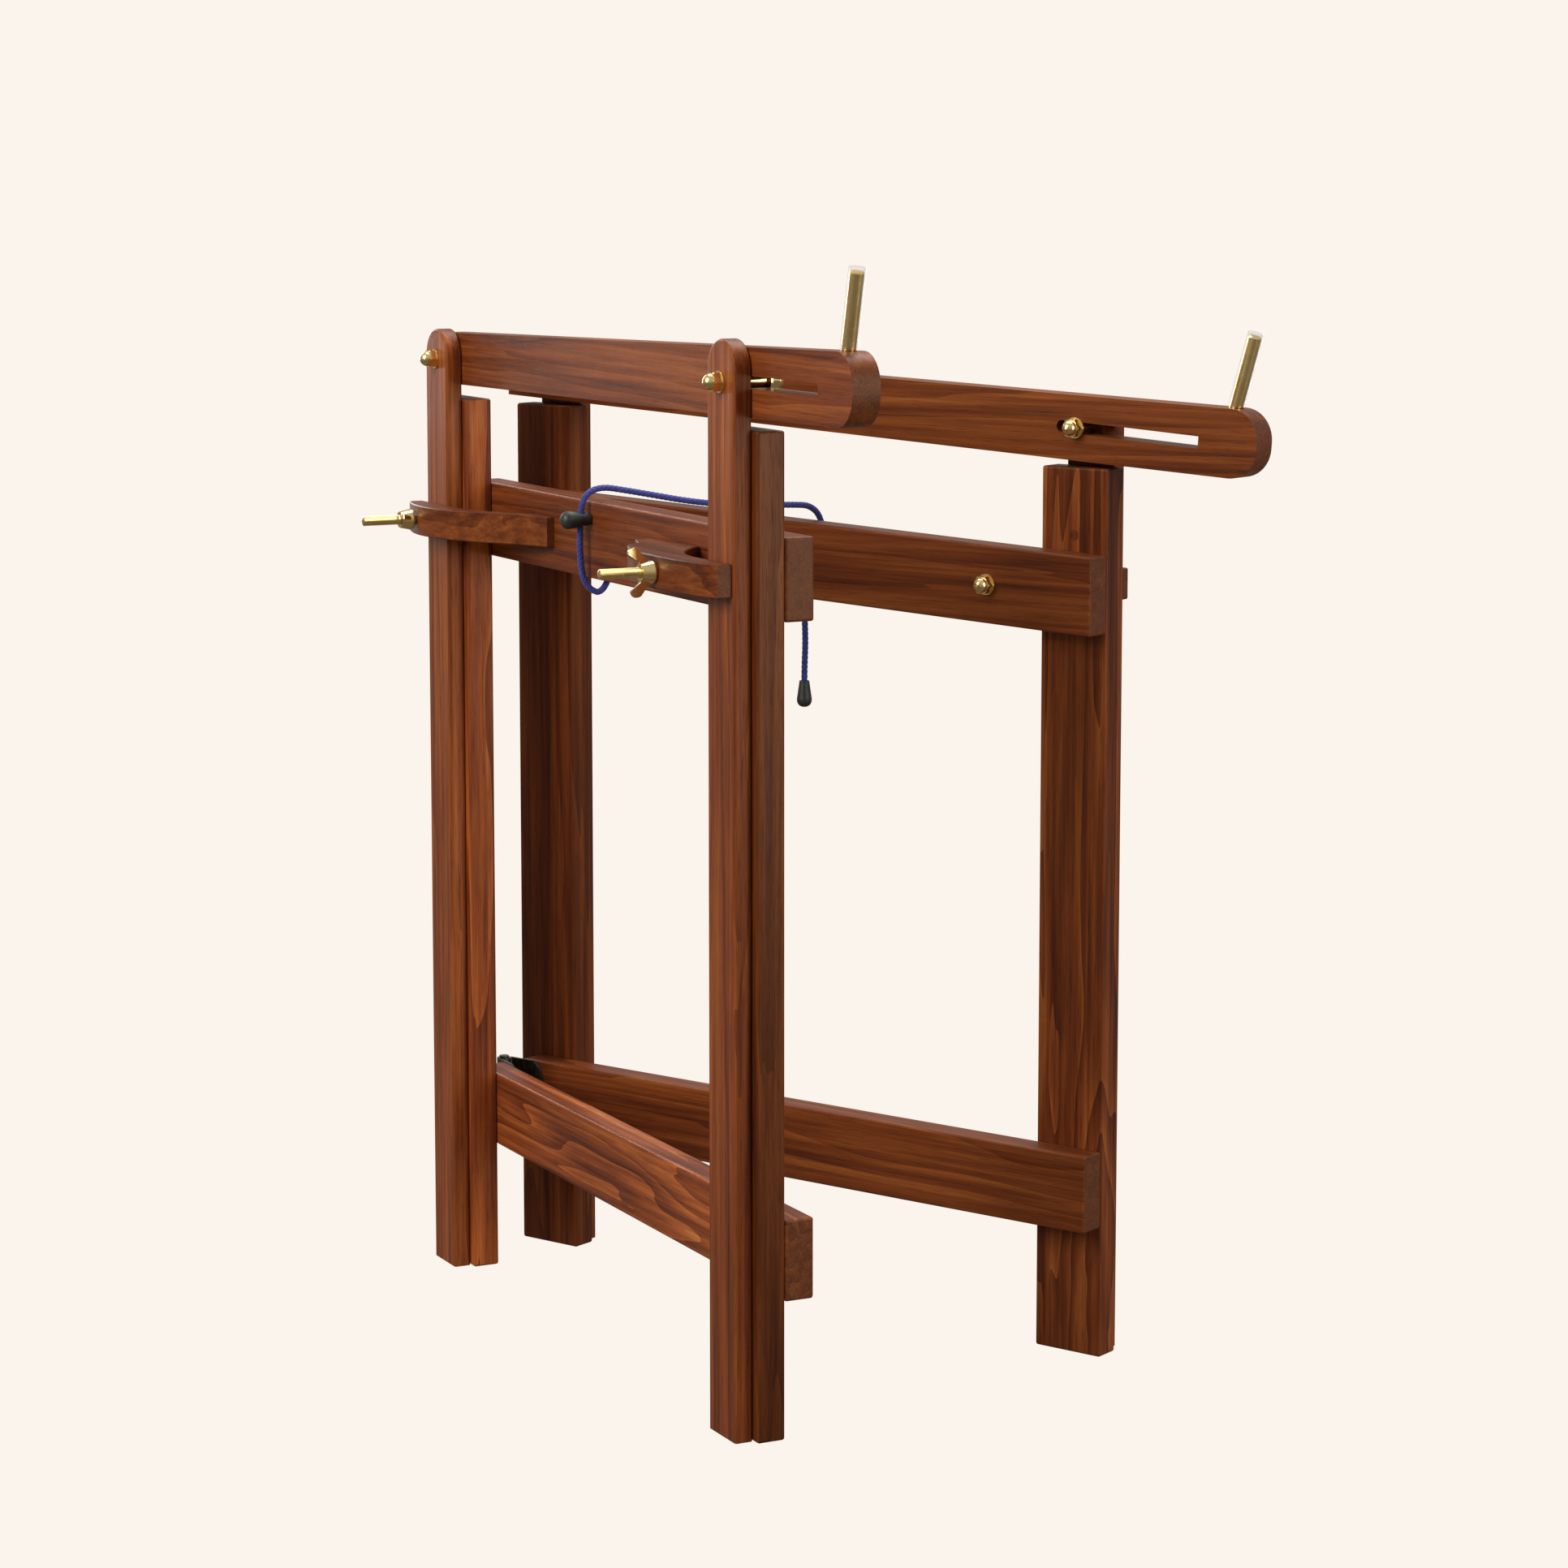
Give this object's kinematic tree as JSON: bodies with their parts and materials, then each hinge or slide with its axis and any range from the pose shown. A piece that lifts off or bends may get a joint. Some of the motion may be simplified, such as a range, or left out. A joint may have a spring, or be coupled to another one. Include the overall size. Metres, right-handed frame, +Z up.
{
  "type": "folding loom stand",
  "caption": "Folding hardwood loom stand: hinged frames with slotted top arms, sleeved brass pegs, wooden clamp levers with wing nuts, and a stay cord.",
  "frame": {"origin": "on the floor, under the middle of the box round the stand without its cords", "axes": "+Z up, +X from the hinged edge towards the open ends, halfway between the frames; the front frame is towards -Y"},
  "size_m": [0.7184, 0.471, 0.8453],
  "materials": {
    "frame_wood": "oiled",
    "clamp_wood": "oiled",
    "brass": "polished",
    "bronze": "antique",
    "clear_sleeve": "clear",
    "moulded_plastic": "satin",
    "cord": "braided"
  },
  "bodies": {
    "front_frame": {"front_lower_rail": "frame_wood", "front_upper_rail": "frame_wood", "front_lower_hinge_leaf": "bronze", "front_upper_hinge_leaf": "bronze", "front_hinge_screws": "bronze", "front_dowels": "frame_wood", "front_plugs": "clamp_wood", "front_hinge_leg": "frame_wood", "front_hinge_post": "frame_wood", "front_outer_leg": "frame_wood", "front_outer_post": "frame_wood", "front_arm_bolts": "brass", "front_arm_bolt_nuts": "brass", "front_arm_bolt_washers": "brass", "front_clamp_stud_nut": "brass", "front_clamp_stud_washer": "brass", "front_hinge_clamp_stud": "brass", "front_outer_clamp_stud": "brass", "lower_hinge_pin": "bronze", "upper_hinge_pin": "bronze", "cord_toggle": "moulded_plastic", "stay_cord": "cord"},
    "rear_frame": {"rear_lower_rail": "frame_wood", "rear_upper_rail": "frame_wood", "rear_lower_hinge_leaf": "bronze", "rear_upper_hinge_leaf": "bronze", "rear_hinge_screws": "bronze", "rear_dowels": "frame_wood", "rear_plugs": "clamp_wood", "rear_hinge_leg": "frame_wood", "rear_hinge_post": "frame_wood", "rear_outer_leg": "frame_wood", "rear_outer_post": "frame_wood", "rear_arm_bolts": "brass", "rear_arm_bolt_nuts": "brass", "rear_arm_bolt_washers": "brass", "rear_clamp_stud_nut": "brass", "rear_clamp_stud_washer": "brass", "rear_hinge_clamp_stud": "brass", "rear_outer_clamp_stud": "brass", "cord_tail": "cord", "tail_bell_end": "moulded_plastic"},
    "front_top_arm": {"front_arm": "frame_wood", "front_arm_pin": "brass", "front_pin_sleeve": "clear_sleeve"},
    "front_hinge_clamp": {"front_hinge_clamp_lever": "clamp_wood", "front_hinge_clamp_washer": "brass"},
    "front_hinge_nut": {"front_hinge_wing_nut": "brass"},
    "front_outer_clamp": {"front_outer_clamp_lever": "clamp_wood", "front_outer_clamp_washer": "brass"},
    "front_outer_nut": {"front_outer_wing_nut": "brass"},
    "rear_top_arm": {"rear_arm": "frame_wood", "rear_arm_pin": "brass", "rear_pin_sleeve": "clear_sleeve"},
    "rear_hinge_clamp": {"rear_hinge_clamp_lever": "clamp_wood", "rear_hinge_clamp_washer": "brass"},
    "rear_hinge_nut": {"rear_hinge_wing_nut": "brass"},
    "rear_outer_clamp": {"rear_outer_clamp_lever": "clamp_wood", "rear_outer_clamp_washer": "brass"},
    "rear_outer_nut": {"rear_outer_wing_nut": "brass"}
  },
  "joints": [
    {"name": "fold", "type": "hinge", "parent": "front_frame", "child": "rear_frame", "pos_m": [-0.33409, 0, 0.4], "axis": [0, 0, 1], "range_deg": [-19, 50], "deforming": ["stay_cord"]},
    {"name": "front_arm_slide", "type": "slide", "parent": "front_frame", "child": "front_top_arm", "axis": [-0.9748, 0.2233, 0], "range_m": [0, 0.013]},
    {"name": "front_hinge_clamp_slide", "type": "slide", "parent": "front_frame", "child": "front_hinge_clamp", "axis": [-0.2233, -0.9748, 0], "range_m": [0, 0.015]},
    {"name": "front_hinge_nut_spin", "type": "hinge", "parent": "front_hinge_clamp", "child": "front_hinge_nut", "pos_m": [-0.33169, -0.09699, 0.622], "axis": [-0.2233, -0.9748, 0], "continuous": true},
    {"name": "front_outer_clamp_slide", "type": "slide", "parent": "front_frame", "child": "front_outer_clamp", "axis": [-0.2233, -0.9748, 0], "range_m": [0, 0.015]},
    {"name": "front_outer_nut_spin", "type": "hinge", "parent": "front_outer_clamp", "child": "front_outer_nut", "pos_m": [0.11671, -0.19968, 0.622], "axis": [-0.2233, -0.9748, 0], "continuous": true},
    {"name": "rear_arm_slide", "type": "slide", "parent": "rear_frame", "child": "rear_top_arm", "axis": [-0.973, -0.2229, 0.0598], "range_m": [-0.0115, 0.0015]},
    {"name": "rear_hinge_clamp_slide", "type": "slide", "parent": "rear_frame", "child": "rear_hinge_clamp", "axis": [-0.2233, 0.9748, 0], "range_m": [0, 0.015]},
    {"name": "rear_hinge_nut_spin", "type": "hinge", "parent": "rear_hinge_clamp", "child": "rear_hinge_nut", "pos_m": [-0.33169, 0.09699, 0.61297], "axis": [-0.2233, 0.9748, 0], "continuous": true},
    {"name": "rear_outer_clamp_slide", "type": "slide", "parent": "rear_frame", "child": "rear_outer_clamp", "axis": [-0.2233, 0.9748, 0], "range_m": [0, 0.015]},
    {"name": "rear_outer_nut_spin", "type": "hinge", "parent": "rear_outer_clamp", "child": "rear_outer_nut", "pos_m": [0.11671, 0.19968, 0.59328], "axis": [-0.2233, 0.9748, 0], "continuous": true}
  ]
}
